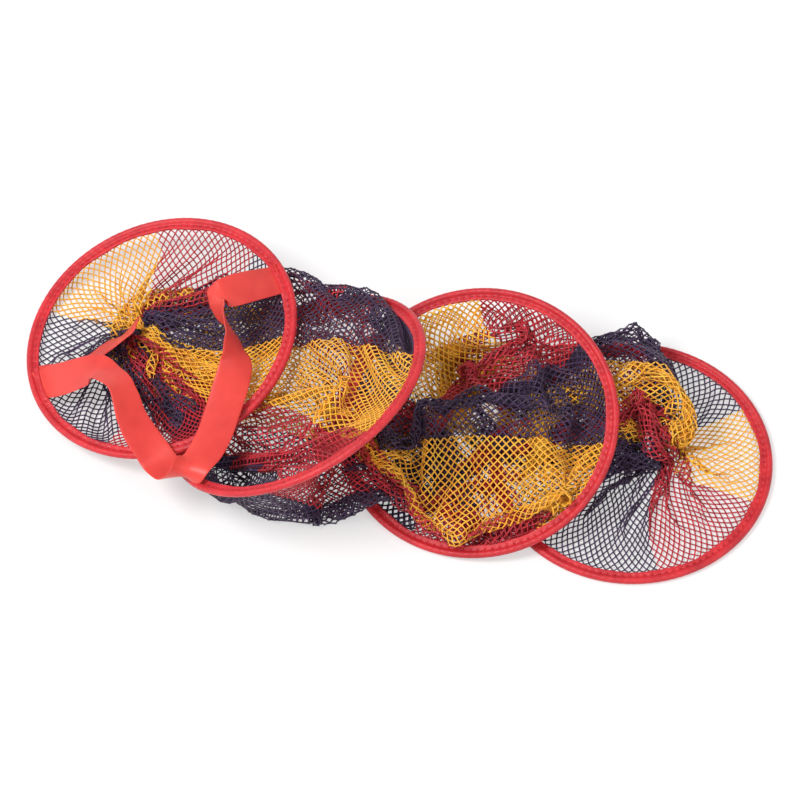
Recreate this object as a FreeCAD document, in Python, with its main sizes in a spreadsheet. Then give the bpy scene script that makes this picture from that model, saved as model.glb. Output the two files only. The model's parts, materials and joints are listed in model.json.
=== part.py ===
import FreeCAD, Part
import math
import os
import Sketcher
from FreeCAD import Placement, Rotation, Vector

# Collapsible net tube: four equal steel hoops bound in folded tape, three walls of soft net
# between them, and a webbing strap across the mouth. It lies on its side, slumped, with each
# hoop leaning on the next. Lengths are in millimetres and angles in degrees.
# X runs along the tube from the mouth hoop (low X) to the base hoop (high X), Z is up, and the
# origin is on the floor, under the middle of the whole object.

os.makedirs("parts", exist_ok=True)
doc = FreeCAD.newDocument("NetTube")
sheet = doc.addObject("Spreadsheet::Sheet", "Sizes")

# Driving sizes: alias, value, what it is
sizeRows = [
    ("ringRadius", 97.9, "hoop, to the middle of its steel strip"),
    ("stripThick", 1.0, "spring-steel strip, across the hoop"),
    ("stripWidth", 3.0, "spring-steel strip, along the hoop's axis"),
    ("stripGap", 0.8, "gap where the strip's two ends meet"),
    ("ferruleLength", 16.0, "crimped sleeve over the strip's ends"),
    ("ferruleWall", 0.3, "sheet that the sleeve is folded from"),
    ("crimpClear", 0.05, "strip to the crimped sleeve"),
    ("runClear", 0.1, "room round the strip and the sleeve inside the tape"),
    ("tapeOut", 1.5, "tape outside the strip, with its piped edge"),
    ("tapeTop", 1.0, "tape above and below the strip"),
    ("tapeEdge", 2.4, "height of the binding's outer edge"),
    ("beadShoulder", 2.3, "slope from the bead down to the stitched flange"),
    ("flangeThick", 2.0, "two leaves of tape with the net's hem between them"),
    ("flangeWidth", 4.0, "stitched flange, inwards from the bead"),
    ("restFlat", 0.4, "depth of the base binding pressed flat by the floor"),
    ("netThick", 0.8, "net wall with its folds, as a smooth skin"),
    ("netClear", 0.7, "net hem to the binding's inner edge and to the next hem"),
    ("strapWidth", 25.0, "carrying strap webbing"),
    ("strapThick", 1.2, "carrying strap webbing"),
    ("sewnLength", 5.8, "strap end that is sewn down on the flange"),
    ("sewnClear", 0.3, "free strap to its sewn end"),
    ("mouthX", -332.0, "mouth hoop's centre from the base hoop's centre"),
    ("mouthY", 88.0, "mouth hoop's centre from the base hoop's centre"),
    ("mouthTilt", 15.4, "mouth hoop's lean"),
    ("mouthLow", 180.0, "heading of the mouth hoop's lowest point"),
    ("upperX", -234.5, "second hoop's centre"),
    ("upperY", 23.0, "second hoop's centre"),
    ("upperTilt", 32.6, "second hoop's lean"),
    ("upperLow", 145.7, "heading of the second hoop's lowest point"),
    ("lowerX", -108.0, "third hoop's centre"),
    ("lowerY", 16.0, "third hoop's centre"),
    ("lowerTilt", 16.2, "third hoop's lean"),
    ("lowerLow", 239.7, "heading of the third hoop's lowest point"),
]
size = {}
for row, (alias, value, note) in enumerate(sizeRows, start=1):
    sheet.set(f"A{row}", note)
    sheet.set(f"B{row}", str(value))
    sheet.setAlias(f"B{row}", alias)
    size[alias] = value
doc.recompute()


# A length is a dictionary of size names and how many times each counts
def total(terms):
    return sum(count * size[name] for name, count in terms.items())


def formula(terms):
    return " + ".join(f"{count} * Sizes.{name}" for name, count in terms.items())


def plus(*lengths):
    added = {}
    for terms in lengths:
        for name, count in terms.items():
            added[name] = added.get(name, 0) + count
    return added


def minus(terms):
    return {name: -count for name, count in terms.items()}


def one(name):
    return {name: 1}


def half(name):
    return {name: 0.5}


stripInner = plus(one("ringRadius"), minus(half("stripThick")))
stripOuter = plus(one("ringRadius"), half("stripThick"))
stripTop = half("stripWidth")
channelInner = plus(stripInner, minus(one("runClear")))
channelOuter = plus(stripOuter, one("runClear"))
channelTop = plus(stripTop, one("runClear"))
beadOuter = plus(channelOuter, one("tapeOut"))
beadCrest = one("ringRadius")
beadTop = plus(channelTop, one("tapeTop"))
edgeTop = half("tapeEdge")
flangeOuter = plus(channelInner, minus(one("beadShoulder")))
flangeInner = plus(flangeOuter, minus(one("flangeWidth")))
flangeTop = half("flangeThick")
boreInner = plus(stripInner, minus(one("crimpClear")))
boreOuter = plus(stripOuter, one("crimpClear"))
boreTop = plus(stripTop, one("crimpClear"))
sleeveInner = plus(boreInner, minus(one("ferruleWall")))
sleeveOuter = plus(boreOuter, one("ferruleWall"))
sleeveTop = plus(boreTop, one("ferruleWall"))

outerRadius = total(beadOuter)
innerRadius = total(flangeInner)


# Section outlines, as (radius, height) corners
def rectangle(inner, outer, top):
    return [(outer, top), (inner, top), (inner, minus(top)), (outer, minus(top))]


upperHalf = [
    (beadOuter, edgeTop), (beadCrest, beadTop), (flangeOuter, flangeTop), (flangeInner, flangeTop),
]
bindingOutline = upperHalf + [(radius, minus(height)) for radius, height in reversed(upperHalf)]
channelOutline = rectangle(channelInner, channelOuter, channelTop)
stripOutline = rectangle(stripInner, stripOuter, stripTop)
boreOutline = rectangle(boreInner, boreOuter, boreTop)
sleeveOutline = rectangle(sleeveInner, sleeveOuter, sleeveTop)
pocketOutline = rectangle(
    plus(sleeveInner, minus(one("runClear"))),
    plus(sleeveOuter, one("runClear")),
    plus(sleeveTop, one("runClear")),
)


def drawOutline(sketch, corners, side):
    first = sketch.GeometryCount
    places = [Vector(side * total(r), total(z), 0) for r, z in corners]
    count = len(places)
    for i in range(count):
        sketch.addGeometry(Part.LineSegment(places[i], places[(i + 1) % count]), False)
    for i, (r, z) in enumerate(corners):
        after = first + (i - 1) % count
        sketch.addConstraint(Sketcher.Constraint("Coincident", after, 2, first + i, 1))
        for kind, terms, sign in (("DistanceX", r, side), ("DistanceY", z, 1)):
            number = sketch.addConstraint(
                Sketcher.Constraint(kind, -1, 1, first + i, 1, sign * total(terms))
            )
            signed = terms if sign > 0 else minus(terms)
            sketch.setExpression(f"Constraints[{number}]", formula(signed))


def addSketch(body, name, outlines, side=1):
    sketch = body.newObject("Sketcher::SketchObject", name)
    plane = [f for f in body.Origin.OriginFeatures if f.Role == "XZ_Plane"][0]
    sketch.AttachmentSupport = [(plane, "")]
    sketch.MapMode = "FlatFace"
    for corners in outlines:
        drawOutline(sketch, corners, side)
    return sketch


def addTurned(body, name, outlines, angleFormula, side=1, kind="PartDesign::Revolution"):
    sketch = addSketch(body, name + "Sketch", outlines, side)
    turned = body.newObject(kind, name)
    turned.Profile = sketch
    turned.ReferenceAxis = (sketch, ["V_Axis"])
    turned.Midplane = True
    turned.setExpression("Angle", angleFormula)
    body.Tip = turned
    return turned


def newBody(name):
    body = doc.addObject("PartDesign::Body", name)
    body.Label = name
    return body


degreesPerLength = "180 / pi"
sleeveAngle = f"Sizes.ferruleLength / Sizes.ringRadius * {degreesPerLength}"
gapAngle = f"Sizes.stripGap / Sizes.ringRadius * {degreesPerLength}"
pocketAngle = f"(Sizes.ferruleLength + 2 * Sizes.runClear) / Sizes.ringRadius * {degreesPerLength}"


# One hoop: the strip, open by a small gap, the sleeve over its ends, and the folded tape
def makeHoop(name, place):
    strip = newBody(f"{name}_hoop_strip")
    addTurned(strip, f"{name}Strip", [stripOutline], f"360 - {gapAngle}")
    ferrule = newBody(f"{name}_hoop_ferrule")
    addTurned(ferrule, f"{name}Sleeve", [sleeveOutline, boreOutline], sleeveAngle, -1)
    binding = newBody(f"{name}_hoop_binding")
    addTurned(binding, f"{name}Tape", [bindingOutline, channelOutline], "360")
    doc.recompute()
    before = binding.Shape.Volume
    addTurned(binding, f"{name}Pocket", [pocketOutline], pocketAngle, -1, "PartDesign::Groove")
    doc.recompute()
    if not binding.Shape.Volume < before:
        raise RuntimeError(f"the sleeve's pocket cut nothing from {name}_hoop_binding")
    for body in (strip, ferrule, binding):
        body.Placement = place
    return [strip, ferrule, binding]


# Where the hoops lie: each leans with its lowest edge on the floor
def lean(tilt, low):
    heading = math.radians(low)
    return Rotation(Vector(-math.sin(heading), math.cos(heading), 0), tilt)


def lowestDrop(tilt):
    angle = math.radians(tilt)
    corners = [(beadOuter, edgeTop), (beadCrest, beadTop)]
    return max(total(r) * math.sin(angle) + total(z) * math.cos(angle) for r, z in corners)


def reach(tilt, low, way):
    normal = lean(tilt, low).multVec(Vector(0, 0, 1))
    along = abs(normal.dot(way))
    across = math.sqrt(1 - along * along)
    corners = [(beadOuter, edgeTop), (beadCrest, beadTop)]
    return max(total(r) * across + total(z) * along for r, z in corners)


spliceHeading = {"mouth": 75.0, "upper": 20.0, "lower": 60.0, "base": 250.0}
hoopNames = ["mouth", "upper", "lower", "base"]
centre = {"base": Vector(0, 0, total(beadTop) - size["restFlat"])}
turned = {"base": Rotation()}
spans = {"base": (0.0, 0.0)}
for name in hoopNames[:3]:
    tilt, low = size[name + "Tilt"], size[name + "Low"]
    centre[name] = Vector(size[name + "X"], size[name + "Y"], lowestDrop(tilt))
    turned[name] = lean(tilt, low)
    spans[name] = (tilt, low)


def middle(way):
    ends = []
    for name in hoopNames:
        tilt, low = spans[name]
        at = centre[name].dot(way)
        ends += [at - reach(tilt, low, way), at + reach(tilt, low, way)]
    return (min(ends) + max(ends)) / 2


shift = Vector(middle(Vector(1, 0, 0)), middle(Vector(0, 1, 0)), 0)
for name in hoopNames:
    centre[name] = centre[name] - shift

pieces = []
hoopPlace = {}
for name in hoopNames:
    hoopPlace[name] = Placement(centre[name], turned[name])
    splice = Rotation(Vector(0, 0, 1), spliceHeading[name])
    pieces += makeHoop(name, Placement(centre[name], turned[name] * splice))

# The base hoop's tape is pressed flat where the floor carries it
floorCut = doc.addObject("Part::Cut", "base_binding_flat")
block = doc.addObject("Part::Box", "floorBlock")
blockHalf = outerRadius + size["tapeOut"]
block.Length = 2 * blockHalf
block.Width = 2 * blockHalf
block.Height = size["tapeOut"]
block.Placement.Base = Vector(
    centre["base"].x - blockHalf, centre["base"].y - blockHalf, -size["tapeOut"]
)
pressed = pieces.pop()
pressed.Label = "baseTapeUncut"
floorCut.Base = pressed
floorCut.Tool = block
floorCut.Label = "base_hoop_binding"
pieces.append(floorCut)
doc.recompute()

# Net walls: each is a skin between two hoops, drawn in to a narrow neck on the way. A section is a
# ring of points that lie by turns on a valley and on a crest of the pleats, and the skin between
# two rings is flat between its folds.
pleatCount = 12


def pleatRing(place, valley, crest, turn):
    ring = []
    for i in range(2 * pleatCount):
        angle = math.radians(turn) + i * math.pi / pleatCount
        radius = crest if i % 2 else valley
        ring.append(place.multVec(Vector(radius * math.cos(angle), radius * math.sin(angle), 0)))
    return ring


def flatFace(*corners):
    face = Part.Face(Part.makePolygon(list(corners) + [corners[0]]))
    outwards = (corners[1] - corners[0]).cross(corners[2] - corners[0])
    if face.normalAt(0, 0).dot(outwards) < 0:
        face.reverse()
    return face


# Two flat folds for each step along a ring, from it to the following ring
def foldCorners(ring, following, crossed=()):
    corners = []
    count = len(ring)
    for i in range(count):
        after = (i + 1) % count
        if i in crossed:
            corners.append([ring[i], following[i], following[after]])
            corners.append([ring[i], following[after], ring[after]])
        else:
            corners.append([ring[i], following[i], ring[after]])
            corners.append([ring[after], following[i], following[after]])
    return corners


def closedSolid(faces):
    shell = Part.makeShell(faces)
    shell.sewShape()
    return Part.makeSolid(shell)


# The sections of each wall from its first hoop to its second. A section is placed by its offset from
# the middle of the two hoops' centres, then its lean and the heading of its low side. Then come its
# radius at the valleys and at the crests of the pleats, and its turn about the wall's own line.
# The last value of a wall is the turn of its hem on the second hoop.
netWalls = {
    "mouth_net": ("mouth", "upper", [
        ((17.5, 42.5, -11), 23.5, 154, 28, 35, 20),
        ((20, 41, -18.5), 23.5, 154, 28, 35, 20),
    ], -20),
    "middle_net": ("upper", "lower", [
        ((-59, -9, -17), 30, 169, 43, 46, 0),
        ((-2, -15, -5), 56, 170, 11, 12, 0),
        ((30, -18, -14), 18, 216, 50, 53, 0),
    ], 0),
    "lower_net": ("lower", "base", [
        ((13, -23, 0), 7.5, 216, 20, 27, 4),
        ((14, -22.5, -7), 7.5, 216, 20, 27, 4),
    ], 17),
}
halfNet = size["netThick"] / 2
hemRadius = innerRadius - size["netClear"] - halfNet
hemDrop = size["netClear"] / 2 + halfNet


def hemRing(hoop, side, turn):
    lift = turned[hoop].multVec(Vector(0, 0, side * hemDrop))
    place = Placement(centre[hoop] + lift, turned[hoop])
    return pleatRing(place, hemRadius, hemRadius, turn)


# The net's two skins lie half a thickness to either side of its folds
def makeWall(name, above, below, sections, lastTurn):
    rings = [hemRing(above, -1, 0)]
    for offset, tilt, low, valley, crest, turn in sections:
        place = Placement((centre[above] + centre[below]) / 2 + Vector(*offset), lean(tilt, low))
        rings.append(pleatRing(place, valley, crest, turn))
    rings.append(hemRing(below, 1, lastTurn))
    folds = []
    for ring, following in zip(range(len(rings)), range(1, len(rings))):
        places = [[(r, i) for i in range(2 * pleatCount)] for r in (ring, following)]
        folds += foldCorners(*places)
    normal = {}
    for fold in folds:
        first, second, third = [rings[r][i] for r, i in fold]
        facing = (second - first).cross(third - first)
        facing.normalize()
        for corner in fold:
            normal[corner] = normal.get(corner, Vector()) + facing
    for facing in normal.values():
        facing.normalize()

    def skin(corner, side):
        r, i = corner
        return rings[r][i] + normal[corner] * (side * halfNet)

    faces = []
    for fold in folds:
        faces.append(flatFace(*[skin(corner, 1) for corner in fold]))
        faces.append(flatFace(*[skin(corner, -1) for corner in reversed(fold)]))
    for r, side in ((0, 1), (len(rings) - 1, -1)):
        inner = [skin((r, i), -side) for i in range(2 * pleatCount)]
        outer = [skin((r, i), side) for i in range(2 * pleatCount)]
        faces += [flatFace(*corners) for corners in foldCorners(inner, outer)]
    wall = doc.addObject("Part::Feature", name)
    wall.Label = name
    wall.Shape = closedSolid(faces)
    return wall


for name, wallSizes in netWalls.items():
    pieces.append(makeWall(name, *wallSizes))

# Strap webbing: stations in the mouth hoop's own frame, each (u, v, w, heading, rise), where u, v
# and w place the middle of the webbing, and heading and rise point across its width
layer = size["strapThick"]
onFlange = size["flangeThick"] / 2
sewnOuter = math.sqrt(total(flangeOuter) ** 2 - (size["strapWidth"] / 2) ** 2)
sewnInner = sewnOuter - size["sewnLength"]
freeRadius = sewnInner - size["sewnClear"]
laidFlat = 3       # the webbing lies flat for this far beside its sewn ends
laidRise = 0.2
tuckedLength = 1.5
leftAnchor, rightAnchor = 196.7, 21.3


def flatStation(radius, heading, height, side):
    angle = math.radians(heading)
    return (radius * math.cos(angle), radius * math.sin(angle), height, heading + 90 * side, 0)


lowLayer = onFlange + layer / 2
highLayer = lowLayer + layer
carryStations = [
    flatStation(freeRadius, leftAnchor, highLayer, 1),
    flatStation(freeRadius - laidFlat, leftAnchor, highLayer + laidRise, 1),
    (-67, -29, 12, -74, 0), (-50, -34, 22, -72, 8), (-38, -38, 28, -70, 20),
    (-28, -45, 31, -86, 28), (-21, -53, 31, -103, 28), (-17, -63, 28, -118, 28),
    (-14, -77, 23, -132, 25), (-9, -89, 17, -150, 22), (-3, -99, 12, -164, 18),
    (2, -108, 8.5, -174, 12), (8, -116, 8.5, -176, 11), (14, -123, 11, -176, 11),
    (20, -126, 15, -175, 11), (29, -122, 17, -175, 11), (36, -112, 15, -176, 12),
    (44, -96, 13, -178, 14), (50, -77, 13, -180, 16), (56, -57, 13, -180, 28),
    (60, -42, 15, -176, 42), (60, -32, 17, -150, 56), (59, -24, 19, -112, 63),
    (57, -17, 21, -76, 58), (54, -11, 23, -54, 45), (50, -4, 25, -44, 30),
    (49, 5, 26, -54, 17), (52, 13, 25, -70, 0), (66, 22, 14, -71, -4),
    flatStation(freeRadius - laidFlat, rightAnchor, lowLayer + laidRise, -1),
    flatStation(freeRadius, rightAnchor, lowLayer, -1),
]
innerStations = [
    flatStation(sewnOuter, leftAnchor, lowLayer, 1),
    flatStation(sewnInner + tuckedLength, leftAnchor, lowLayer, 1),
    (-76, -18, 0.8, -72, 0), (-60, -10, 0, -68, -6), (-42, 2, 0, -62, -14), (-26, 12, -1, -56, -22),
    (-14, 20, -4, -52, -28),
]


def ribbon(stations):
    rings = []
    places = [Vector(u, v, w) for u, v, w, heading, rise in stations]
    for i, (u, v, w, heading, rise) in enumerate(stations):
        a, b = math.radians(heading), math.radians(rise)
        across = Vector(math.cos(a) * math.cos(b), math.sin(a) * math.cos(b), math.sin(b))
        if i in (0, len(stations) - 1):
            up = Vector(0, 0, 1)
        else:
            up = across.cross(places[i + 1] - places[i - 1])
            up.normalize()
        rings.append((places[i], up, across))
    outlines = []
    for place, up, across in rings:
        half = across * (size["strapWidth"] / 2)
        lift = up * (layer / 2)
        outlines.append([
            place + half + lift, place - half + lift, place - half - lift, place + half - lift,
        ])
    faces = [flatFace(*outlines[0]), flatFace(*reversed(outlines[-1]))]
    for outline, following in zip(outlines, outlines[1:]):
        faces += [flatFace(*corners) for corners in foldCorners(outline, following, [2])]
    return closedSolid(faces)


def addRibbon(name, stations):
    piece = doc.addObject("Part::Feature", name)
    piece.Label = name
    piece.Shape = ribbon(stations)
    piece.Placement = hoopPlace["mouth"]
    pieces.append(piece)


def addSewnEnd(name, heading, height):
    piece = doc.addObject("Part::Box", name)
    piece.Label = name
    piece.setExpression("Length", "Sizes.sewnLength")
    piece.setExpression("Width", "Sizes.strapWidth")
    piece.setExpression("Height", "Sizes.strapThick")
    corner = Placement(Vector(sewnInner, -size["strapWidth"] / 2, height), Rotation())
    swing = Placement(Vector(), Rotation(Vector(0, 0, 1), heading))
    piece.Placement = hoopPlace["mouth"].multiply(swing).multiply(corner)
    pieces.append(piece)


addRibbon("carry_strap", carryStations)
addRibbon("inner_strap", innerStations)
addSewnEnd("strap_end_left", leftAnchor, onFlange + layer)
addSewnEnd("strap_end_right", rightAnchor, onFlange)
doc.recompute()

failed = [o.Name for o in doc.Objects if {"Invalid", "Error"} & set(o.State)]
if failed:
    raise RuntimeError("failed: " + ", ".join(failed))
for piece in pieces:
    if piece.Shape.isNull() or not piece.Shape.isValid():
        raise RuntimeError("bad shape: " + piece.Label)
    piece.Shape.exportStep(f"parts/{piece.Label}.step")
    print(piece.Label, round(piece.Shape.Volume, 1), len(piece.Shape.Solids), piece.Shape.BoundBox)
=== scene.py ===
import json
import math

import bpy
import numpy as np
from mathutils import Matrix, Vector


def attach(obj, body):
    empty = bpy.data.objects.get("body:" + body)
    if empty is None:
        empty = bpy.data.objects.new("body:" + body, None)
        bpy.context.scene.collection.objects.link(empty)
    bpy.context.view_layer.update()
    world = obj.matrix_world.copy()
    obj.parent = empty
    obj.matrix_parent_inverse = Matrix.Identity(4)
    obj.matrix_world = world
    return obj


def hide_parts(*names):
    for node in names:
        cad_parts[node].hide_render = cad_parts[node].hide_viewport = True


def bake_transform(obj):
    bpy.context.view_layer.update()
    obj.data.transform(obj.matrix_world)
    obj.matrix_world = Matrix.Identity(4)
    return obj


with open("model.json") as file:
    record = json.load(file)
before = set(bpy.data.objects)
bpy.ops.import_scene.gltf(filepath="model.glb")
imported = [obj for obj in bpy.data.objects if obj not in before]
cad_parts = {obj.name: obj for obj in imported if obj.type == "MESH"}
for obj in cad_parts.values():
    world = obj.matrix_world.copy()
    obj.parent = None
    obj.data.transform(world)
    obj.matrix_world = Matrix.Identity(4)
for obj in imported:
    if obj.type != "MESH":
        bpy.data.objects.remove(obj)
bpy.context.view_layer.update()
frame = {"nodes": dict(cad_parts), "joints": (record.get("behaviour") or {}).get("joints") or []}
print("frame loaded with", len(frame["nodes"]), "CAD nodes")


# camera first: the photograph looks down on the tube from its front, through a long lens
cameraValues = {
    "elevation": 57.5,        # degrees above the floor
    "metresPerPixel": 0.000705,
    "imageSide": 800,
    "distance": 6.0,
    "target": (0.0014, -0.0094, 0.030),
}


def addCamera(v):
    data = bpy.data.cameras.new("photoCamera")
    camera = bpy.data.objects.new("photoCamera", data)
    bpy.context.scene.collection.objects.link(camera)
    tilt = math.radians(v["elevation"])
    back = Vector((0, -math.cos(tilt), math.sin(tilt)))
    camera.location = Vector(v["target"]) + back * v["distance"]
    camera.rotation_mode = "QUATERNION"
    camera.rotation_quaternion = (-back).to_track_quat("-Z", "Y")
    data.sensor_width = 36.0
    data.lens = data.sensor_width * v["distance"] / (v["metresPerPixel"] * v["imageSide"])
    data.clip_end = 60.0
    bpy.context.scene.camera = camera
    return camera


addCamera(cameraValues)
print("camera set")


# small helpers for meshes
def addMesh(name, points, faces, materials, slots=None, uv=None):
    mesh = bpy.data.meshes.new(name)
    points = np.asarray(points, float)
    faces = np.asarray(faces, int)
    side = faces.shape[1]
    mesh.vertices.add(len(points))
    mesh.vertices.foreach_set("co", points.ravel())
    mesh.loops.add(faces.size)
    mesh.loops.foreach_set("vertex_index", faces.ravel())
    mesh.polygons.add(len(faces))
    mesh.polygons.foreach_set("loop_start", np.arange(len(faces)) * side)
    mesh.polygons.foreach_set("use_smooth", np.full(len(faces), True))
    for material in materials:
        mesh.materials.append(material)
    if slots is not None:
        mesh.polygons.foreach_set("material_index", np.asarray(slots, int))
    if uv is not None:
        layer = mesh.uv_layers.new(name="weave")
        layer.data.foreach_set("uv", np.asarray(uv, float).ravel())
    mesh.update(calc_edges=True)
    mesh.validate()
    piece = bpy.data.objects.new(name, mesh)
    bpy.context.scene.collection.objects.link(piece)
    return piece


def runAlong(line):
    # how far along a line each of its points lies
    return np.r_[0, np.cumsum(np.linalg.norm(np.diff(line, axis=0), axis=1))]


def faceCorners(run, step, i, j, order):
    # the weave's place at the four corners of each face, run along the piece and step round it
    z = 0 * (i + j)
    corners = [np.stack([run[i + across + z], step[j + around + z]], -1) for across, around in order]
    return np.stack(corners, 2).reshape(-1, 2)


def turnTo(a, b):
    # the smallest turn that takes direction a to direction b
    a = np.asarray(a, float) / np.linalg.norm(a)
    b = np.asarray(b, float) / np.linalg.norm(b)
    v = np.cross(a, b)
    k = np.array([[0, -v[2], v[1]], [v[2], 0, -v[0]], [-v[1], v[0], 0]])
    return np.eye(3) + k + k @ k / (1 + a @ b)


def hoopPlace(name):
    # the plane and circle that best fit the hoop's steel strip
    mesh = frame["nodes"][name + "_hoop_strip"].data
    points = np.array([v.co for v in mesh.vertices], float)
    middle = points.mean(0)
    axes = np.linalg.svd(points - middle)[2]
    up = axes[2] * np.sign(axes[2][2])
    turn = turnTo((0, 0, 1), up)
    flat = (points - middle) @ turn
    rows = np.c_[2 * flat[:, :2], np.ones(len(flat))]
    fit = np.linalg.lstsq(rows, (flat[:, :2] ** 2).sum(1), rcond=None)[0]
    return middle + turn @ np.array([fit[0], fit[1], 0.0]), turn


hoopNames = ["mouth", "upper", "lower", "base"]
places = {name: hoopPlace(name) for name in hoopNames}


def onHoop(name, heading, radius, lift):
    # points given by heading, radius and height above the hoop's plane
    middle, turn = places[name]
    heading, radius, lift = np.broadcast_arrays(heading, radius, lift)
    angle = np.radians(heading)
    local = np.stack([radius * np.cos(angle), radius * np.sin(angle), lift], -1)
    return local @ turn.T + middle


# finishes, each a node material
def startMaterial(name, colour, roughness, sheen=0.0, metallic=0.0):
    material = bpy.data.materials.new(name)
    material.use_nodes = True
    shader = material.node_tree.nodes["Principled BSDF"]
    shader.inputs["Base Color"].default_value = (*colour, 1)
    shader.inputs["Roughness"].default_value = roughness
    shader.inputs["Metallic"].default_value = metallic
    shader.inputs["Sheen Weight"].default_value = sheen
    return material, material.node_tree.nodes, material.node_tree.links, shader


mottleValues = {"detail": 4.0, "darkAt": 0.3, "lightAt": 0.7}


def mottled(nodes, links, shader, source, dark, light, scale):
    noise = nodes.new("ShaderNodeTexNoise")
    noise.inputs["Scale"].default_value = scale
    noise.inputs["Detail"].default_value = mottleValues["detail"]
    links.new(source, noise.inputs["Vector"])
    ramp = nodes.new("ShaderNodeValToRGB")
    ramp.color_ramp.elements[0].position = mottleValues["darkAt"]
    ramp.color_ramp.elements[0].color = (*dark, 1)
    ramp.color_ramp.elements[1].position = mottleValues["lightAt"]
    ramp.color_ramp.elements[1].color = (*light, 1)
    links.new(noise.outputs["Fac"], ramp.inputs["Fac"])
    links.new(ramp.outputs["Color"], shader.inputs["Base Color"])


def bumped(nodes, links, shader, height, depth, strength):
    bump = nodes.new("ShaderNodeBump")
    bump.inputs["Strength"].default_value = strength
    bump.inputs["Distance"].default_value = depth
    links.new(height, bump.inputs["Height"])
    links.new(bump.outputs["Normal"], shader.inputs["Normal"])


bandSpacing = 0.314     # how far apart a wave texture's bands lie at a scale of 1


def threads(nodes, links, source, direction, pitch):
    # one set of parallel threads, pitch metres apart
    wave = nodes.new("ShaderNodeTexWave")
    wave.wave_type = "BANDS"
    wave.bands_direction = direction
    wave.inputs["Scale"].default_value = bandSpacing / pitch
    wave.inputs["Distortion"].default_value = 0.0
    links.new(source, wave.inputs["Vector"])
    return wave.outputs["Fac"]


def wovenMaterial(name, values):
    material, nodes, links, shader = startMaterial(
        name, values["light"], values["roughness"], values["sheen"])
    uv = nodes.new("ShaderNodeUVMap")
    uv.uv_map = "weave"
    place = nodes.new("ShaderNodeTexCoord").outputs["Object"]
    mottled(nodes, links, shader, place, values["dark"], values["light"], values["patch"])
    across = threads(nodes, links, uv.outputs["UV"], "X", values["weft"])
    along = threads(nodes, links, uv.outputs["UV"], "Y", values["warp"])
    weave = nodes.new("ShaderNodeMath")
    weave.operation = "MULTIPLY"
    links.new(across, weave.inputs[0])
    links.new(along, weave.inputs[1])
    bumped(nodes, links, shader, weave.outputs[0], values["depth"], values["strength"])
    return material


tapeValues = {
    "dark": (0.48, 0.010, 0.020), "light": (0.70, 0.024, 0.034), "roughness": 0.40, "sheen": 0.03,
    "patch": 60.0, "weft": 0.0006, "warp": 0.0005, "depth": 0.00012, "strength": 0.6,
}
webbingValues = {
    "dark": (0.64, 0.034, 0.028), "light": (0.82, 0.062, 0.048), "roughness": 0.42, "sheen": 0.05,
    "patch": 30.0, "weft": 0.0009, "warp": 0.0007, "depth": 0.00010, "strength": 0.5,
}
bindingTape = wovenMaterial("bindingTape", tapeValues)
webbing = wovenMaterial("webbing", webbingValues)


yarnValues = {"sheen": 0.1, "patch": 120.0, "fibre": 2600.0, "depth": 0.00006, "strength": 0.5}


def yarnMaterial(name, dark, light, roughness):
    material, nodes, links, shader = startMaterial(name, light, roughness, yarnValues["sheen"])
    place = nodes.new("ShaderNodeTexCoord").outputs["Object"]
    mottled(nodes, links, shader, place, dark, light, yarnValues["patch"])
    fibre = nodes.new("ShaderNodeTexNoise")
    fibre.inputs["Scale"].default_value = yarnValues["fibre"]
    links.new(place, fibre.inputs["Vector"])
    bumped(nodes, links, shader, fibre.outputs["Fac"], yarnValues["depth"], yarnValues["strength"])
    return material


yellowYarn = yarnMaterial("yellowYarn", (0.93, 0.38, 0.012), (1.00, 0.57, 0.050), 0.45)
redYarn = yarnMaterial("redYarn", (0.38, 0.007, 0.024), (0.62, 0.022, 0.036), 0.45)
navyYarn = yarnMaterial("navyYarn", (0.028, 0.011, 0.046), (0.068, 0.032, 0.100), 0.45)
stitchThread = yarnMaterial("stitchThread", (0.42, 0.010, 0.022), (0.56, 0.020, 0.034), 0.40)


steelValues = {
    "colour": (0.55, 0.56, 0.58), "dark": (0.42, 0.43, 0.46), "light": (0.62, 0.63, 0.65),
    "roughness": 0.34, "patch": 220.0, "grain": 3000.0, "depth": 0.00002, "strength": 0.4,
}


def steelMaterial(v):
    material, nodes, links, shader = startMaterial(
        "springSteel", v["colour"], v["roughness"], metallic=1.0)
    place = nodes.new("ShaderNodeTexCoord").outputs["Object"]
    mottled(nodes, links, shader, place, v["dark"], v["light"], v["patch"])
    grain = nodes.new("ShaderNodeTexNoise")
    grain.inputs["Scale"].default_value = v["grain"]
    links.new(place, grain.inputs["Vector"])
    bumped(nodes, links, shader, grain.outputs["Fac"], v["depth"], v["strength"])
    return material


springSteel = steelMaterial(steelValues)
for node in frame["nodes"].values():
    node.data.materials.clear()
    node.data.materials.append(springSteel)
print("materials made")


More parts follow.
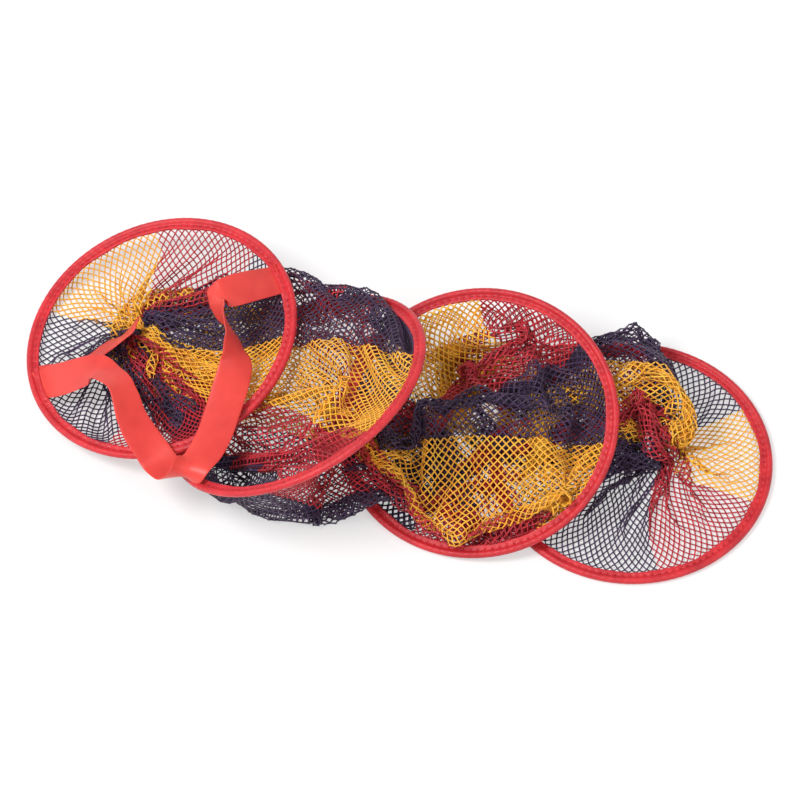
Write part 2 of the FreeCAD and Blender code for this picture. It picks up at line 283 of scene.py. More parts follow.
# the bindings: folded tape with a piped bead outside and a stitched flange inside
phaseRange = 6.28     # radians that a wave's random start is drawn from
bindingValues = {
    "around": 720,
    "beadRadius": 0.0976,     # middle of the bead
    "beadWide": 0.0024,
    "beadHigh": 0.0026,
    "beadSweep": 135,         # degrees of the bead's outline, and the step between its points
    "beadStep": 9.0,
    "valley": (0.0002, 0.0003, 0.92),     # where bead and flange meet: half width, rise, share of the half
    "flangeOut": 0.0952,
    "flangeIn": 0.0910,
    "flangeHalf": 0.0010,
    "flangeShares": (0.2, 0.4, 0.6, 0.8, 0.95),
    "edgeRoll": ((0.00002, 0.75), (0.0002, 0.3)),     # inward step and share of the half thickness
    "stitchRadius": 0.0940,
    "stitchPitch": 0.0052,
    "stitchLength": 0.0030,
    "stitchThick": 0.00026,
    "pucker": 0.00050,
    "puckerWide": 0.0009,
    "puckerLeast": 0.4,
    "ripple": 0.00016,        # of the flange's edge, a wave every few stitches
    "rippleStitches": 2.0,
    "rippleWander": (3, 60),
    "beadPinch": 0.00022,
    "waver": 0.00022,         # of the flange's edge, in and out
    "waverWaves": (5, 26),
    "waverParts": 3,
    # where the tape is sewn over the ends of a strap: hoop, heading, half width in degrees, extra height
    "overStrap": [("mouth", 196.2, 9.0, 0.0027), ("mouth", 21.3, 8.3, 0.0015)],
    "overFade": 1.6,          # degrees over which that height fades away
    "overEdge": 6,
}


def overStrap(name, heading, v):
    extra = np.zeros(np.shape(heading))
    for hoop, middle, half, height in v["overStrap"]:
        if hoop == name:
            off = np.abs((heading - middle + 180) % 360 - 180)
            share = np.clip((half + v["overFade"] - off) / v["overFade"], 0, 1)
            extra = np.maximum(extra, height * share)
    return extra


def bindingSection(v):
    # half of the section, from the outside of the bead to the inner edge of the flange
    outline = []
    for angle in np.radians(np.arange(0, v["beadSweep"] + 1, v["beadStep"])):
        outline.append((v["beadRadius"] + v["beadWide"] * math.cos(angle),
                        v["beadHigh"] * math.sin(angle)))
    low = v["flangeHalf"]
    half, rise, part = v["valley"]
    outline += [(v["flangeOut"] + half, low + rise), (v["flangeOut"] - half, low * part)]
    for share in v["flangeShares"]:
        outline.append((v["flangeOut"] + (v["flangeIn"] - v["flangeOut"]) * share, low))
    outline += [(v["flangeIn"] - inward, low * share) for inward, share in v["edgeRoll"]]
    top = np.array(outline)
    under = top[::-1] * np.array([1, -1])
    return np.vstack([top, under[:-1]])


def addBinding(name, v, seed):
    random = np.random.default_rng(seed)
    section = bindingSection(v)
    count, size = v["around"], len(section)
    heading = np.arange(count) * 360 / count
    arc = np.radians(heading) * v["stitchRadius"]
    waver = sum(random.normal() * np.sin(np.radians(heading * k) + random.random() * phaseRange)
                for k in range(*v["waverWaves"])) * v["waver"] / v["waverParts"]
    radius = np.tile(section[:, 0], (count, 1))
    lift = np.tile(section[:, 1], (count, 1))
    inner = np.clip((v["flangeOut"] - radius) / (v["flangeOut"] - v["flangeIn"]), 0, 1)
    radius += inner * waver[:, None]
    near = np.exp(-((radius - v["stitchRadius"]) / v["puckerWide"]) ** 2)
    pull = 0.5 + 0.5 * np.cos(2 * math.pi * arc / v["stitchPitch"])
    lift -= np.sign(lift) * near * v["pucker"] * (v["puckerLeast"] + pull[:, None])
    wander, wanderPace = v["rippleWander"]
    ripple = np.sin(2 * math.pi * arc / (v["stitchPitch"] * v["rippleStitches"])
                    + wander * np.sin(arc * wanderPace))
    lift += np.sign(lift) * (inner * v["ripple"] * ripple[:, None]
                             - (1 - inner) * v["beadPinch"] * pull[:, None])
    lift += (lift > 0) * np.minimum(1, inner * v["overEdge"]) * overStrap(name, heading, v)[:, None]
    points = onHoop(name, heading[:, None], radius, lift)
    points[..., 2] = np.maximum(points[..., 2], 0.0)
    i = np.arange(count)[:, None]
    j = np.arange(size)[None]
    i2, j2 = (i + 1) % count, (j + 1) % size
    faces = np.stack([i * size + j, i2 * size + j, i2 * size + j2, i * size + j2], -1).reshape(-1, 4)
    step = runAlong(np.vstack([section, section[:1]]))
    run = np.radians(np.arange(count + 1) * 360 / count) * v["beadRadius"]
    uv = faceCorners(run, step, i, j, ((0, 0), (1, 0), (1, 1), (0, 1)))
    return addMesh(name + "_hoop_tape", points.reshape(-1, 3), faces, [bindingTape], uv=uv)


# a stitch's stations along it, how thick it is there and how far out, and how unevenly it was sewn
stitchForm = {
    "along": (-0.5, -0.38, 0.0, 0.38, 0.5), "thick": (0.15, 0.8, 1.0, 0.8, 0.15),
    "rise": (-0.5, 0.2, 0.55, 0.2, -0.5), "sides": 6, "sunk": 0.6, "shift": 0.00006, "lean": 0.05,
}
stitchCaps = ((0, (0, 1, 2, 3)), (0, (0, 3, 4, 5)), (1, (3, 2, 1, 0)), (1, (5, 4, 3, 0)))


def addStitches(name, v, seed):
    random = np.random.default_rng(seed)
    count = int(round(2 * math.pi * v["stitchRadius"] / v["stitchPitch"]))
    turn = 360 / count
    along = np.array(stitchForm["along"]) * v["stitchLength"]
    thick = np.array(stitchForm["thick"]) * v["stitchThick"]
    rise = np.array(stitchForm["rise"]) * v["stitchThick"]
    sides, sunk = stitchForm["sides"], v["pucker"] * stitchForm["sunk"]
    points, faces = [], []
    for face in (1, -1):
        for n in range(count):
            shift = random.normal() * stitchForm["shift"]
            lean = random.normal() * stitchForm["lean"]
            base = len(points)
            for a, t, s in zip(along, thick, rise):
                heading = n * turn + math.degrees(a / v["stitchRadius"])
                for k in range(sides):
                    angle = 2 * math.pi * k / sides
                    points.append((heading, v["stitchRadius"] + shift + a * lean + t * math.cos(angle),
                                   face * (v["flangeHalf"] - sunk + s + t * math.sin(angle))))
            for ring in range(len(along) - 1):
                for k in range(sides):
                    k2 = (k + 1) % sides
                    corner = base + ring * sides
                    quad = (corner + k, corner + k2, corner + sides + k2, corner + sides + k)
                    faces.append(quad if face > 0 else quad[::-1])
            for end, order in stitchCaps:
                start = base + end * (len(along) - 1) * sides
                faces.append(tuple(start + o for o in order))
    local = np.array(points)
    local[:, 2] += (local[:, 2] > 0) * overStrap(name, local[:, 0], v)
    placed = onHoop(name, local[:, 0], local[:, 1], local[:, 2])
    placed[:, 2] = np.maximum(placed[:, 2], 0.0)
    return addMesh(name + "_hoop_stitches", placed, faces, [stitchThread])


for number, name in enumerate(hoopNames):
    tape = addBinding(name, bindingValues, 11 + number)
    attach(tape, name + "_hoop")
    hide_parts(name + "_hoop_binding")
    stitches = addStitches(name, bindingValues, 31 + number)
    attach(stitches, name + "_hoop")
print("bindings and stitches made")


# the straps: 25 mm webbing that is sewn to the mouth hoop
strapValues = {
    "width": 0.025, "thick": 0.0012, "perStation": 10, "across": 18, "crown": 0.0004,
    "edgeSharp": 14, "softenings": 3, "floor": 0.0002,
}
# stations along the strap: its middle in the mouth hoop's own frame, in mm, then the heading and rise
# of its width, in degrees
carryRoute = [
    (-90.0, -27.0, 2.9, -73.3, 0), (-83.9, -25.2, 3.0, -73, 1), (-67, -30, 12, -74, -1),
    (-50, -34, 22, -75, 6), (-38, -37.5, 28, -66, 20), (-28, -45.5, 31, -85, 29),
    (-21, -53, 31, -103, 28), (-17, -63, 28, -118, 28), (-14, -77, 23, -131, 25),
    (-9, -89, 17, -151, 22), (-3, -99, 11.5, -163, 20), (2, -107.5, 8, -174, 11),
    (8, -116, 8, -176, 11), (14, -123.5, 10.5, -177, 12), (21, -127, 15, -175, 11),
    (29.5, -123, 17, -175, 11),
    (37, -112, 14, -176, 12), (44, -96.5, 12.5, -179, 14), (50, -77, 12.5, -180, 15), (56, -57, 13, -180, 28),
    (60, -42, 15, -177, 42), (60, -32, 18, -147, 59), (59, -23.5, 19, -109, 64), (57, -16.5, 21, -84, 60),
    (54.5, -10, 22.5, -62, 50), (51, -2.5, 24.5, -44, 37), (49.3, 4, 27.5, -50, 23), (50.6, 7.6, 29, -66, 10),
    (56, 11, 27, -75, -4), (68, 20.5, 17, -72, -10), (84, 32.8, 1.9, -67, -2), (87.5, 34.3, 1.8, -67, 0),
]
innerRoute = [
    (-91, -22.5, 1.7, -73, 0), (-87, -21.5, 1.7, -73, 2), (-78, -20, 2.0, -75, 14),
    (-68, -18.5, 3.0, -80, 28), (-58, -16, 4.0, -84, 34), (-48, -10.5, 4.5, -80, 37),
    (-40, -4, 3.5, -72, 38), (-33, 3, 1.0, -64, 42), (-28.5, 10, -3.5, -56, 48),
    (-26, 19, -9.0, -52, 54),
]


def smoothRoute(route, per, softenings):
    # a Catmull-Rom curve through the stations, the width turned along with it, then softened a little
    route = np.array(route, float)
    mid = route[:, :3] / 1000
    heading, rise = np.radians(route[:, 3]), np.radians(route[:, 4])
    width = np.stack([np.cos(heading) * np.cos(rise), np.sin(heading) * np.cos(rise), np.sin(rise)], -1)
    both = np.hstack([mid, width])
    padded = np.vstack([2 * both[0] - both[1], both, 2 * both[-1] - both[-2]])
    out = []
    for k in range(len(route) - 1):
        a, b, c, d = padded[k:k + 4]
        for t in np.arange(per) / per:
            out.append(0.5 * (2 * b + (c - a) * t + (2 * a - 5 * b + 4 * c - d) * t * t
                              + (3 * b - a - 3 * c + d) * t ** 3))
    out.append(both[-1])
    out = np.array(out)
    for _ in range(softenings):
        out[1:-1] = 0.5 * out[1:-1] + 0.25 * (out[:-2] + out[2:])
    return out[:, :3], out[:, 3:]


def addStrap(name, route, v):
    mid, width = smoothRoute(route, v["perStation"], v["softenings"])
    along = np.gradient(mid, axis=0)
    along /= np.linalg.norm(along, axis=1, keepdims=True)
    width -= (width * along).sum(1, keepdims=True) * along
    width /= np.linalg.norm(width, axis=1, keepdims=True)
    normal = np.cross(along, width)
    share = np.cos(np.linspace(0, math.pi, v["across"]))    # closer together at the two edges
    half = v["thick"] / 2
    edge = np.sqrt(np.clip(1 - np.abs(share) ** v["edgeSharp"], 0, 1))
    crown = v["crown"] * (1 - share ** 2)
    top = np.c_[share * v["width"] / 2, edge * half + crown]
    under = np.c_[share[1:-1] * v["width"] / 2, -edge[1:-1] * half + crown[1:-1]][::-1]
    section = np.vstack([top, under])
    ring = mid[:, None] + section[None, :, :1] * width[:, None] + section[None, :, 1:] * normal[:, None]
    middle, turn = places["mouth"]
    points = ring @ turn.T + middle
    points[..., 2] = np.maximum(points[..., 2], v["floor"])
    count, size = len(mid), len(section)
    i = np.arange(count - 1)[:, None]
    j = np.arange(size)[None]
    i2, j2 = i + 1, (j + 1) % size
    faces = np.stack([i * size + j, i * size + j2, i2 * size + j2, i2 * size + j], -1).reshape(-1, 4)
    run, step = runAlong(mid), runAlong(np.vstack([section, section[:1]]))
    uv = faceCorners(run, step, i, j, ((0, 0), (0, 1), (1, 1), (1, 0)))
    # close the two cut ends with a fan of quads
    caps, capUv = [], []
    for first in (0, (count - 1) * size):
        for k in range(v["across"] - 1):
            low = (first + k, first + k + 1, first + (size - k - 1) % size, first + (size - k) % size)
            caps.append(low if first == 0 else low[::-1])
            capUv += [(0, 0)] * 4
    piece = addMesh(name, points.reshape(-1, 3), np.vstack([faces, caps]), [webbing],
                    uv=np.vstack([uv, capUv]))
    print(name, "is", round(run[-1], 3), "m long")
    return piece


carry = addStrap("carry_webbing", carryRoute, strapValues)
inner = addStrap("inner_webbing", innerRoute, strapValues)
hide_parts("carry_strap", "strap_end_left", "strap_end_right")
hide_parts("inner_strap")
swing = [j for j in frame["joints"] if j["name"] == "strap_swing"][0]
hingeAt, hingeAxis = np.array(swing["pos_m"]), np.array(swing["axis"])
awayFromHinge = np.cross(hingeAxis, places["mouth"][1][:, 2])
awayFromHinge *= -np.sign(awayFromHinge[1])
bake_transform(carry)
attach(inner, "mouth_hoop")
print("straps made")


# the net: knotted diamond mesh, each wall relaxed by its strand lengths, gravity and the hoops
netValues = {
    "columns": 108, "rows": 112, "side": 0.0042, "hemRadius": 0.0912, "hemLift": 0.0006,
    "strandThick": 0.00060, "knotWide": 0.00112, "knotHigh": 0.00080, "floor": 0.0009,
}
# each wall goes through these stages: steps, length passes in a step, hold of the guides, fall and speed
# kept in a step, share of smoothing
relaxStages = [
    {"steps": 160, "passes": 12, "hold": 0.06, "fall": 0.00002, "keep": 0.8, "smoothing": 0.2},
    {"steps": 160, "passes": 14, "hold": 0.01, "fall": 0.00004, "keep": 0.9, "smoothing": 0.0},
    {"steps": 60, "passes": 25, "hold": 0.0, "fall": 0.00002, "keep": 0.8, "smoothing": 0.0},
]
relaxValues = {
    "foldLimit": 1.97, "foldPush": 0.175,     # a strand straighter than this, in sides, is left alone
    "cellPush": 0.03,         # how firmly cells keep their width and height
    "fastest": 0.0015, "lyingBand": 0.0004, "lyingSlide": 0.4,
    "edgeRows": 6,            # rows beside a hem that stay within the flange
}
# oval section round a hoop that the net is kept out of, but for the rows sewn to its flange
clearValues = {"radius": 0.0957, "halfWide": 0.0058, "halfHigh": 0.0040, "sewnRows": 3}
# the gathered ring: pull of the guides there, its spread, metres from row to row, how far out the strands
# reach it, slack in their length, and its pleats as count, depth and start
neckValues = {
    "pull": 3, "spread": 0.03, "rowStep": 0.0026, "reach": 0.6, "slack": 1.03,
    "pleats": ((9, 0.20, 0), (5, 0.10, 1)),
}
crumpleValues = {"waves": 14, "around": 12, "along": 7, "push": 0.0035, "calm": 0.1}
startValues = {"pull": 0.9, "floor": 0.001}
thirds = (0, 2 * math.pi / 3, 4 * math.pi / 3)     # corners of a strand and of a knot
columns, rows, side = netValues["columns"], netValues["rows"], netValues["side"]
cellWide = 2 * math.pi * netValues["hemRadius"] / columns
cellHigh = 2 * math.sqrt(side ** 2 - (cellWide / 2) ** 2)
# sewn panels, clockwise from the border at the mouth hoop's upper left, in degrees
panelStart = 155
panels = [(62, 0), (52, 1), (50, 2), (50, 0), (58, 1), (88, 2)]     # 0 yellow, 1 red, 2 navy

# a spot is a place in the photograph, in its pixels, with a height in metres
photoScale = {"metresPerPixel": 0.000716, "at": (629.7, 462.0), "shows": (0.164364, -0.0440, 0.0022)}
# a guide draws one part of a wall to a spot: share of the wall's length, heading, spread of the two,
# then the pixel's x and y and the height. A neck is from one end's hem, 0 or 1, or at a row.
wallValues = {
    "mouth_net": {
        "hoops": ("mouth", "upper"), "turns": (0, 10), "seed": 3,
        "neck": {"from": 0, "at": (136, 322, 0.013), "axis": (0.8, -0.5, -0.15), "radius": (0.008, 0.010)},
        "guides": [(0.41, -32, 0.05, 18, 205, 374, 0.021), (0.56, -32, 0.05, 20, 272, 388, 0.035),
                   (0.77, -32, 0.05, 18, 355, 372, 0.092),
                   (0.82, 10, 0.04, 14, 375, 281, 0.082),
                   (0.60, 32, 0.05, 18, 292, 256, 0.045), (0.70, 36, 0.04, 16, 330, 288, 0.055),
                   (0.45, 26, 0.05, 18, 228, 262, 0.024), (0.45, 60, 0.06, 18, 205, 300, 0.014),
                   (0.85, -85, 0.05, 18, 300, 450, 0.080), (0.60, -85, 0.05, 18, 225, 420, 0.030),
                   (0.50, -135, 0.06, 20, 185, 425, 0.008), (0.72, -130, 0.06, 20, 225, 455, 0.010)],
    },
    "middle_net": {
        "hoops": ("upper", "lower"), "turns": (10, -5), "seed": 4,
        "neck": {"from": 50, "at": (398, 450, 0.034), "axis": (0.85, -0.1, -0.4), "radius": (0.006, 0.036)},
        "guides": [(0.25, -110, 0.06, 20, 322, 518, 0.003), (0.20, -72, 0.05, 16, 318, 425, 0.030),
                   (0.33, -72, 0.05, 16, 350, 385, 0.034), (0.12, -24, 0.05, 16, 385, 400, 0.036),
                   (0.26, -24, 0.05, 16, 360, 425, 0.026), (0.53, -36, 0.05, 18, 415, 500, 0.028),
                   (0.64, -38, 0.05, 18, 455, 524, 0.026), (0.75, -38, 0.05, 18, 505, 512, 0.028),
                   (0.87, -30, 0.05, 18, 560, 490, 0.038),
                   (0.55, 24, 0.05, 16, 420, 404, 0.050), (0.63, 22, 0.05, 20, 455, 396, 0.050),
                   (0.72, 22, 0.05, 20, 500, 390, 0.046), (0.81, 18, 0.05, 20, 555, 402, 0.046),
                   (0.62, -95, 0.06, 16, 440, 500, 0.008), (0.75, -95, 0.06, 16, 480, 525, 0.012),
                   (0.65, -150, 0.06, 25, 440, 430, 0.010), (0.80, -150, 0.06, 25, 455, 480, 0.008),
                   (0.85, 75, 0.05, 20, 530, 325, 0.052), (0.70, 80, 0.06, 20, 470, 365, 0.036)],
    },
    "lower_net": {
        "hoops": ("lower", "base"), "turns": (-5, 38), "seed": 5,
        "neck": {"from": 1, "at": (650, 438, 0.012), "axis": (0.2, -0.05, -0.98), "radius": (0.017, 0.017)},
        "guides": [(0.15, 110, 0.06, 25, 450, 345, 0.022), (0.20, -38, 0.06, 16, 540, 440, 0.022),
                   (0.35, -38, 0.06, 16, 560, 395, 0.026), (0.20, 14, 0.06, 20, 530, 380, 0.024),
                   (0.33, 14, 0.06, 20, 500, 400, 0.020), (0.44, 14, 0.05, 16, 588, 338, 0.040),
                   (0.53, 14, 0.05, 16, 618, 322, 0.046), (0.62, 14, 0.05, 16, 652, 334, 0.036),
                   (0.50, -38, 0.04, 13, 615, 374, 0.046), (0.59, -38, 0.04, 13, 660, 358, 0.052),
                   (0.68, -38, 0.04, 13, 690, 400, 0.044), (0.76, -38, 0.04, 13, 690, 448, 0.020),
                   (0.15, -90, 0.06, 16, 500, 490, 0.006), (0.30, -90, 0.06, 16, 470, 450, 0.010),
                   (0.50, -92, 0.05, 16, 610, 415, 0.030), (0.64, -92, 0.05, 14, 640, 388, 0.040),
                   (0.20, -140, 0.07, 25, 430, 500, 0.006), (0.35, -150, 0.07, 25, 500, 440, 0.010)],
    },
}


def spot(x, y, z):
    # the point of the part's frame that the photograph shows at that pixel, at height z
    tilt = math.radians(cameraValues["elevation"])
    scale, shown = photoScale["metresPerPixel"], photoScale["shows"]
    rise = (photoScale["at"][1] - y) * scale + shown[1] * math.sin(tilt) + shown[2] * math.cos(tilt)
    across = shown[0] + (x - photoScale["at"][0]) * scale
    return np.array([across, (rise - z * math.cos(tilt)) / math.sin(tilt), z])


def hem(name, turn, offset, lift):
    heading = (np.arange(columns) + offset) * 360 / columns + turn
    return onHoop(name, heading, netValues["hemRadius"], lift)


def relaxNet(points, ends, pins, guides, steps, stage):
    # position-based steps: strands keep their length, cells resist folding flat and closing up
    v = relaxValues
    speed = np.zeros_like(points)
    share, target = guides
    for _ in range(steps):
        before = points.copy()
        points = points + speed * stage["keep"]
        points[..., 2] -= stage["fall"]
        if stage["hold"]:
            points += stage["hold"] * share[..., None] * (target - points)
        for _ in range(stage["passes"]):
            for first, way in ((0, 0), (0, -1), (1, 0), (1, 1)):
                upper = points[first:rows:2]
                lower = np.roll(points[first + 1:rows + 1:2], -way, axis=1)
                gap = lower - upper
                length = np.linalg.norm(gap, axis=-1, keepdims=True) + 1e-9
                mend = 0.5 * (length - side) / length * gap
                upper += mend
                points[first + 1:rows + 1:2] = np.roll(lower - mend, way, axis=1)
            points[0], points[-1] = pins
        mend = np.zeros_like(points)
        for way in (1, -1):
            gap = np.roll(points[2:], -way, axis=1) - points[:-2]
            length = np.linalg.norm(gap, axis=-1, keepdims=True) + 1e-9
            push = v["foldPush"] * np.minimum(length - v["foldLimit"] * side, 0) / length * gap
            mend[:-2] += push
            mend[2:] -= np.roll(push, way, axis=1)
        gap = np.roll(points, -1, axis=1) - points
        length = np.linalg.norm(gap, axis=-1, keepdims=True) + 1e-9
        push = v["cellPush"] * (length - cellWide) / length * gap
        mend += push
        mend -= np.roll(push, 1, axis=1)
        gap = points[2:] - points[:-2]
        length = np.linalg.norm(gap, axis=-1, keepdims=True) + 1e-9
        push = v["cellPush"] * (length - cellHigh) / length * gap
        mend[:-2] += push
        mend[2:] -= push
        points += mend
        if stage["smoothing"]:
            soft = points.copy()
            soft[1:-1] = (0.5 * points[1:-1] + 0.125 * (points[:-2] + points[2:]
                          + np.roll(points, 1, 1)[1:-1] + np.roll(points, -1, 1)[1:-1]))
            points = (1 - stage["smoothing"]) * points + stage["smoothing"] * soft
        points = clearHoops(points, clearValues)
        keepInside(points, ends)
        points[..., 2] = np.maximum(points[..., 2], netValues["floor"])
        points[0], points[-1] = pins
        speed = points - before
        fast = np.linalg.norm(speed, axis=-1, keepdims=True) + 1e-12
        speed *= np.minimum(1, v["fastest"] / fast)
        lying = points[..., 2] < netValues["floor"] + v["lyingBand"]
        speed[lying, :2] *= v["lyingSlide"]
    return points


def clearHoops(points, v):
    # the bindings push the net out of an oval section round each hoop
    for middle, turn in places.values():
        local = (points - middle) @ turn
        radius = np.hypot(local[..., 0], local[..., 1]) + 1e-9
        across, height = radius - v["radius"], local[..., 2]
        inside = np.sqrt((across / v["halfWide"]) ** 2 + (height / v["halfHigh"]) ** 2) + 1e-9
        inside[:v["sewnRows"]] = 1
        inside[-v["sewnRows"]:] = 1
        push = np.where(inside < 1, 1 / inside - 1, 0)
        move = np.stack([local[..., 0] / radius * across * push,
                         local[..., 1] / radius * across * push, height * push], -1)
        points = points + move @ turn.T
    return points


def keepInside(points, ends):
    # next to its two hems the net stays within the flanges
    edge = relaxValues["edgeRows"]
    for near, name in ((slice(1, edge), ends[0]), (slice(-edge, -1), ends[1])):
        middle, turn = places[name]
        local = (points[near] - middle) @ turn
        radius = np.hypot(local[..., 0], local[..., 1])
        local[..., :2] *= np.minimum(1, netValues["hemRadius"] / radius)[..., None]
        points[near] = local @ turn.T + middle


def layNet(v):
    random = np.random.default_rng(v["seed"])
    (a, b), (turnA, turnB) = v["hoops"], v["turns"]
    lift = netValues["hemLift"]
    pins = hem(a, turnA, 0, -lift), hem(b, turnB, 0.5 * (rows % 2), lift)
    share = np.linspace(0, 1, rows + 1)[:, None]
    points = np.array([(1 - i / rows) * hem(a, turnA, 0.5 * (i % 2), -lift)
                       + i / rows * hem(b, turnB, 0.5 * (i % 2), lift) for i in range(rows + 1)])
    heading = np.arange(columns) * 360 / columns + turnA
    total = np.zeros((rows + 1, columns))
    target = np.zeros((rows + 1, columns, 3))
    for t, facing, deep, wide, x, y, z in v["guides"]:
        off = (heading - facing + 180) % 360 - 180
        weight = np.exp(-0.5 * ((share - t) / deep) ** 2 - 0.5 * (off[None] / wide) ** 2)
        total += weight
        target += weight[..., None] * spot(x, y, z)
    neck, common = v["neck"], neckValues
    middle, axis = spot(*neck["at"]), np.array(neck["axis"]) / np.linalg.norm(neck["axis"])
    if neck["from"] in (0, 1):
        reach = common["reach"] * np.mean(neck["radius"])
        strand = np.linalg.norm(pins[neck["from"]] - middle, axis=1) - reach
        neckRow = strand * common["slack"] / (cellHigh / 2)
        if neck["from"] == 1:
            neckRow = rows - neckRow
    else:
        neckRow = np.full(columns, float(neck["from"]))
    angle = np.radians(heading + (turnB - turnA if neck["from"] == 1 else 0))
    pleat = 1
    for count, deep, start in common["pleats"]:
        pleat = pleat + deep * np.sin(count * angle + start)
    ring = np.stack([neck["radius"][0] * pleat * np.cos(angle),
                     neck["radius"][1] * pleat * np.sin(angle), 0 * angle], -1)
    ring = ring @ turnTo((0, 0, -1), axis).T + middle
    for i in range(rows + 1):
        weight = common["pull"] * np.exp(-0.5 * ((i - neckRow) / rows / common["spread"]) ** 2)
        total[i] += weight
        target[i] += weight[:, None] * (ring + axis * (i - neckRow)[:, None] * common["rowStep"])
    target /= np.maximum(total, 1e-6)[..., None]
    hold = np.minimum(total, 1)
    points += hold[..., None] * startValues["pull"] * (target - points)
    # a little crumple to start from
    c = crumpleValues
    for _ in range(c["waves"]):
        k1, k2 = random.integers(1, c["around"]), random.integers(1, c["along"])
        phase = random.random(2) * phaseRange
        push = random.normal(size=3) * c["push"] / (1 + c["calm"] * k1)
        wave = (np.sin(math.pi * share) * np.sin(2 * math.pi * k1 * np.arange(columns) / columns + phase[0])
                * np.sin(math.pi * k2 * share + phase[1]))
        points += wave[..., None] * push
    points[..., 2] = np.maximum(points[..., 2], startValues["floor"])
    pace = 1.0
    for stage in relaxStages:
        points = relaxNet(points, (a, b), pins, (hold, target), int(stage["steps"] * pace), stage)
    return points, neckRow


def panelOf(column):
    # which colour a column of cells has
    turn = (panelStart - column * 360 / columns) % 360
    out = np.full(np.shape(turn), panels[-1][1])
    edge = 0
    for wide, colour in panels[::-1]:
        edge += wide
        out = np.where(turn >= 360 - edge, np.where(turn < 360 - edge + wide, colour, out), out)
    return out


def netMesh(name, points, keep):
    # keep says which strand pieces, by row and column of their upper knot, belong to this piece
    acrossRow = np.roll(points, -1, 1) - np.roll(points, 1, 1)
    downRow = np.gradient(points, axis=0)
    upPoint = np.cross(acrossRow, downRow)
    upPoint /= np.linalg.norm(upPoint, axis=-1, keepdims=True) + 1e-12
    allPoints, allFaces, allSlots = [], [], []
    base = 0
    thick = netValues["strandThick"]
    rowIndex = np.arange(rows + 1)
    for way in (1, -1):
        # column reached by the strand that starts at each column
        drift = rowIndex // 2 if way > 0 else -((rowIndex + 1) // 2)
        column = (np.arange(columns)[:, None] + drift[None]) % columns
        line = points[rowIndex[None], column]
        up = upPoint[rowIndex[None], column]
        run = np.gradient(line, axis=1)
        run /= np.linalg.norm(run, axis=-1, keepdims=True) + 1e-12
        up = up - (up * run).sum(-1, keepdims=True) * run
        up /= np.linalg.norm(up, axis=-1, keepdims=True) + 1e-12
        out = np.cross(run, up)
        ring = np.stack([line + thick * (math.cos(a) * up + math.sin(a) * out) for a in thirds], 2)
        held = keep[rowIndex[None, :-1], column[:, :-1]]
        s, i = np.nonzero(held)
        first = base + (s * (rows + 1) + i) * 3
        for k in range(3):
            k2 = (k + 1) % 3
            allFaces.append(np.stack([first + k, first + k2, first + 3 + k2], -1))
            allFaces.append(np.stack([first + k, first + 3 + k2, first + 3 + k], -1))
            colour = panelOf(column[s, i] + 0.5 * (i % 2) + 0.25 * way)
            allSlots += [colour, colour]
        # close the cut ends
        before = np.zeros_like(held)
        before[:, 1:] = held[:, :-1]
        s, i = np.nonzero(held & ~before)
        first = base + (s * (rows + 1) + i) * 3
        allFaces.append(np.stack([first, first + 2, first + 1], -1))
        allSlots.append(panelOf(column[s, i]))
        after = np.zeros_like(held)
        after[:, :-1] = held[:, 1:]
        s, i = np.nonzero(held & ~after)
        first = base + (s * (rows + 1) + i + 1) * 3
        allFaces.append(np.stack([first, first + 1, first + 2], -1))
        allSlots.append(panelOf(column[s, i]))
        allPoints.append(ring.reshape(-1, 3))
        base += ring.size // 3
    # knots, small double pyramids
    i, j = np.nonzero(keep[:rows])
    inside = i > 0
    i, j = i[inside], j[inside]
    middle, up = points[i, j], upPoint[i, j]
    run = downRow[i, j]
    run /= np.linalg.norm(run, axis=-1, keepdims=True) + 1e-12
    out = np.cross(run, up)
    out /= np.linalg.norm(out, axis=-1, keepdims=True) + 1e-12
    run = np.cross(up, out)
    wide, high = netValues["knotWide"], netValues["knotHigh"]
    corners = [middle + wide * (math.cos(a) * run + math.sin(a) * out) for a in thirds]
    knot = np.stack(corners + [middle + high * up, middle - high * up], 1)
    first = base + np.arange(len(knot)) * 5
    colour = panelOf(j + 0.5 * (i % 2))
    for k in range(3):
        k2 = (k + 1) % 3
        allFaces.append(np.stack([first + k, first + k2, first + 3], -1))
        allFaces.append(np.stack([first + k2, first + k, first + 4], -1))
        allSlots += [colour, colour]
    allPoints.append(knot.reshape(-1, 3))
    vertices, faces = np.vstack(allPoints), np.vstack(allFaces)
    used = np.unique(faces)
    renumber = np.zeros(len(vertices), int)
    renumber[used] = np.arange(len(used))
    print(name, len(faces), "triangles")
    return addMesh(name, vertices[used], renumber[faces], [yellowYarn, redYarn, navyYarn],
                   slots=np.concatenate(allSlots))


leastRows = 4     # that each part of a wall keeps at its hem


def addNet(name, v):
    points, neckRow = layNet(v)
    cut = np.clip(np.round(neckRow), leastRows, rows - leastRows)
    upperPart = np.arange(rows + 1)[:, None] < cut[None]
    neckPoints = points[cut.astype(int), np.arange(columns)]
    a, b = v["hoops"]
    first = netMesh(name + "_to_neck", points, upperPart)
    second = netMesh(name + "_from_neck", points, ~upperPart)
    hemA, hemB = points[0], points[-1]
    # the half that hangs free across the joint is left unattached where it was laid, and the other half rides
    # on its hoop
    if v["neck"]["from"] == 0:
        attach(first, a + "_hoop")
        bendOver(second, neckPoints, hemB)
    else:
        bendOver(first, hemA, neckPoints)
        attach(second, b + "_hoop")
    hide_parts(name)


bendStep = 3     # degrees between the directions that are tried


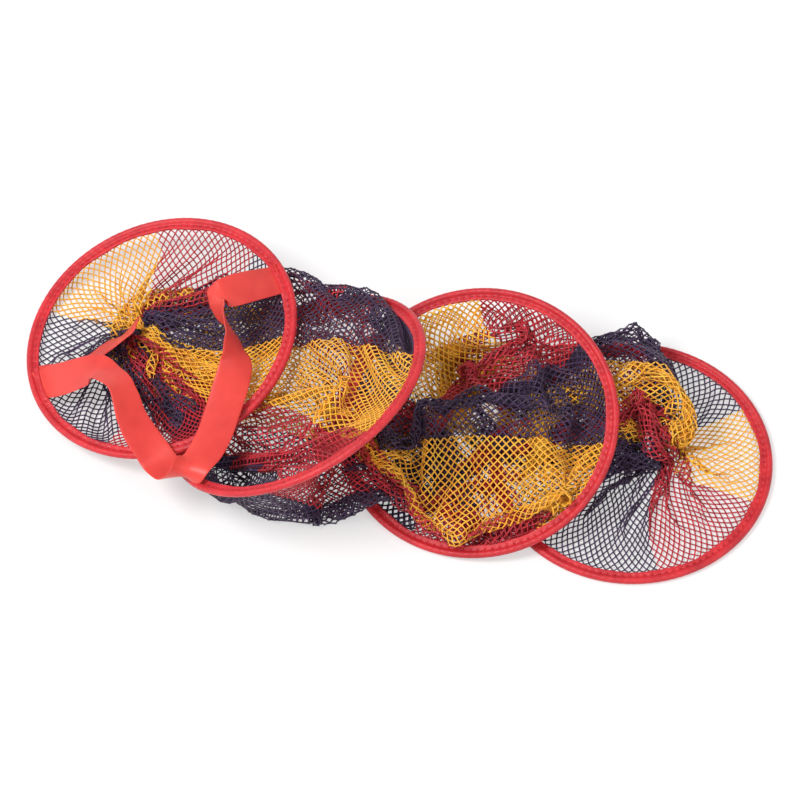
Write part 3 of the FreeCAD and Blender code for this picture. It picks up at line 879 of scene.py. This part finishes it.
def bendOver(piece, near, far):
    # the direction that best parts the points held by hoop a from those held by hoop b
    angles = np.radians(np.arange(0, 360, bendStep))
    best = None
    for lean in np.radians(np.arange(0, 181, bendStep)):
        way = np.stack([np.sin(lean) * np.cos(angles), np.sin(lean) * np.sin(angles),
                        0 * angles + np.cos(lean)], -1)
        start, end = (near @ way.T).max(0), (far @ way.T).min(0)
        k = int((end - start).argmax())
        if best is None or end[k] - start[k] > best[2] - best[1]:
            best = (way[k], start[k], end[k])
    way, start, end = best
    print(piece.name, "bends over", round((end - start) * 1000, 1), "mm")
    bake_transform(piece)


for name, v in wallValues.items():
    addNet(name, v)
print("net walls laid")


# floor and light
floorValues = {
    "half": 4, "drop": 0.0003, "grey": 0.90, "roughness": 0.9, "glow": 1.0,
    "glowShare": 0.50,        # of the white that the camera sees, and the rest shows the shadow
}


def addFloor(v):
    mesh = bpy.data.meshes.new("paleFloor")
    far = v["half"]
    mesh.from_pydata([(-far, -far, 0), (far, -far, 0), (far, far, 0), (-far, far, 0)], [], [(0, 1, 2, 3)])
    floor = bpy.data.objects.new("paleFloor", mesh)
    bpy.context.scene.collection.objects.link(floor)
    floor.location.z = -v["drop"]
    material = bpy.data.materials.new("paleFloor")
    material.use_nodes = True
    nodes, links = material.node_tree.nodes, material.node_tree.links
    shader = nodes["Principled BSDF"]
    shader.inputs["Base Color"].default_value = (v["grey"], v["grey"], v["grey"], 1)
    shader.inputs["Roughness"].default_value = v["roughness"]
    glow = nodes.new("ShaderNodeEmission")
    glow.inputs["Color"].default_value = (1, 1, 1, 1)
    glow.inputs["Strength"].default_value = v["glow"]
    path = nodes.new("ShaderNodeLightPath")
    seen = path.outputs["Is Camera Ray"]
    for other in ("Is Glossy Ray", "Is Transmission Ray"):
        either = nodes.new("ShaderNodeMath")
        either.operation = "MAXIMUM"
        links.new(seen, either.inputs[0])
        links.new(path.outputs[other], either.inputs[1])
        seen = either.outputs[0]
    part = nodes.new("ShaderNodeMath")
    part.operation = "MULTIPLY"
    part.inputs[1].default_value = v["glowShare"]
    links.new(seen, part.inputs[0])
    mix = nodes.new("ShaderNodeMixShader")
    links.new(part.outputs[0], mix.inputs["Fac"])
    links.new(shader.outputs["BSDF"], mix.inputs[1])
    links.new(glow.outputs["Emission"], mix.inputs[2])
    links.new(mix.outputs["Shader"], nodes["Material Output"].inputs["Surface"])
    mesh.materials.append(material)


def addLamp(name, place, size, power):
    data = bpy.data.lights.new(name, "AREA")
    data.shape = "DISK"
    data.size = size
    data.energy = power
    lamp = bpy.data.objects.new(name, data)
    lamp.location = place
    lamp.rotation_mode = "QUATERNION"
    lamp.rotation_quaternion = (-Vector(place)).to_track_quat("-Z", "Y")
    bpy.context.scene.collection.objects.link(lamp)


# place, size and power of each lamp
lampValues = {
    "keyLamp": ((-1.2, -0.3, 1.9), 0.9, 38.0),
    "fillLamp": ((1.4, -1.2, 1.5), 1.6, 12.0),
}
worldStrength = 0.55
addFloor(floorValues)
for name, values in lampValues.items():
    addLamp(name, *values)
world = bpy.data.worlds.new("paleStudio")
world.use_nodes = True
world.node_tree.nodes["Background"].inputs["Color"].default_value = (1, 1, 1, 1)
world.node_tree.nodes["Background"].inputs["Strength"].default_value = worldStrength
bpy.context.scene.world = world
bpy.context.scene.view_settings.view_transform = "Standard"
print("floor and lights set")
